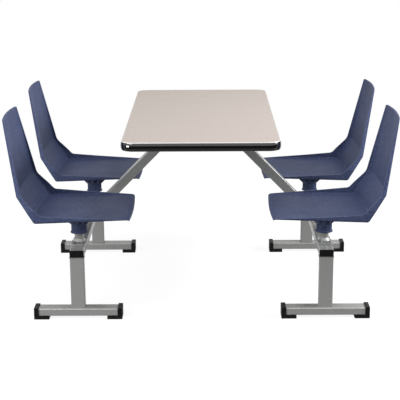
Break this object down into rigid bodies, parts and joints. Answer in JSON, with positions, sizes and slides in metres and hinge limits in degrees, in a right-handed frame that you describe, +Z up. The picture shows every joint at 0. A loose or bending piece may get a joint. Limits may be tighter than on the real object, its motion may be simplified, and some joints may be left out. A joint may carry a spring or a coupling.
{
  "type": "table with attached swivel seats",
  "caption": "Canteen cluster table: a laminated rectangular top on two slanted arms, two welded side frames, and moulded bucket seats that swivel on posts along both long sides.",
  "frame": {"origin": "on the floor, below the middle of the table top", "axes": "+X across the table from the left seats to the right seats, +Y along the table's length towards the rear, +Z up"},
  "size_m": [1.5206, 1.1998, 0.807],
  "materials": {
    "laminate": "fine speckled warm grey high-pressure laminate",
    "particle_board": "raw particle board",
    "black_edge": "glossy black edge moulding",
    "frame_paint": "silver-grey powder coat, satin",
    "black_plastic": "black moulded plastic",
    "seat_plastic": "slate-blue moulded plastic with a fine grain",
    "bearing_plastic": "black bearing plastic",
    "zinc_steel": "zinc-plated steel"
  },
  "bodies": {
    "base": {"table_core": "particle_board", "top_laminate": "laminate", "backing_sheet": "laminate", "edge_moulding": "black_edge", "table_mount_plate": "frame_paint", "arm_left": "frame_paint", "arm_right": "frame_paint", "arm_foot_plate_left": "frame_paint", "arm_foot_plate_right": "frame_paint", "beam_left": "frame_paint", "beam_right": "frame_paint", "mount_plate_screws": "zinc_steel", "arm_bolts": "zinc_steel", "post_bolts_left": "zinc_steel", "post_bolts_right": "zinc_steel", "beam_rivet_nuts": "zinc_steel", "swivel_stop_pins": "zinc_steel", "retaining_rings": "zinc_steel", "thrust_washers": "bearing_plastic", "beam_cap_left_front": "black_plastic", "foot_shoes_left_front": "black_plastic", "upright_left_front": "frame_paint", "foot_bar_left_front": "frame_paint", "post_base_plate_left_front": "frame_paint", "seat_post_left_front": "frame_paint", "beam_cap_left_rear": "black_plastic", "foot_shoes_left_rear": "black_plastic", "upright_left_rear": "frame_paint", "foot_bar_left_rear": "frame_paint", "post_base_plate_left_rear": "frame_paint", "seat_post_left_rear": "frame_paint", "beam_cap_right_front": "black_plastic", "foot_shoes_right_front": "black_plastic", "upright_right_front": "frame_paint", "foot_bar_right_front": "frame_paint", "post_base_plate_right_front": "frame_paint", "seat_post_right_front": "frame_paint", "beam_cap_right_rear": "black_plastic", "foot_shoes_right_rear": "black_plastic", "upright_right_rear": "frame_paint", "foot_bar_right_rear": "frame_paint", "post_base_plate_right_rear": "frame_paint", "seat_post_right_rear": "frame_paint"},
    "seat_left_front": {"seat_shell_left_front": "seat_plastic", "swivel_hub_left_front": "seat_plastic", "hub_bushes_left_front": "bearing_plastic", "seat_screws_left_front": "zinc_steel"},
    "seat_left_rear": {"seat_shell_left_rear": "seat_plastic", "swivel_hub_left_rear": "seat_plastic", "hub_bushes_left_rear": "bearing_plastic", "seat_screws_left_rear": "zinc_steel"},
    "seat_right_front": {"seat_shell_right_front": "seat_plastic", "swivel_hub_right_front": "seat_plastic", "hub_bushes_right_front": "bearing_plastic", "seat_screws_right_front": "zinc_steel"},
    "seat_right_rear": {"seat_shell_right_rear": "seat_plastic", "swivel_hub_right_rear": "seat_plastic", "hub_bushes_right_rear": "bearing_plastic", "seat_screws_right_rear": "zinc_steel"}
  },
  "joints": [
    {"name": "swivel_left_front", "type": "hinge", "parent": "base", "child": "seat_left_front", "pos_m": [-0.49, -0.335, 0.35], "axis": [0, 0, 1], "range_deg": [-90, 90]},
    {"name": "swivel_left_rear", "type": "hinge", "parent": "base", "child": "seat_left_rear", "pos_m": [-0.49, 0.335, 0.35], "axis": [0, 0, 1], "range_deg": [-90, 90]},
    {"name": "swivel_right_front", "type": "hinge", "parent": "base", "child": "seat_right_front", "pos_m": [0.49, -0.335, 0.35], "axis": [0, 0, 1], "range_deg": [-90, 90]},
    {"name": "swivel_right_rear", "type": "hinge", "parent": "base", "child": "seat_right_rear", "pos_m": [0.49, 0.335, 0.35], "axis": [0, 0, 1], "range_deg": [-90, 90]}
  ]
}
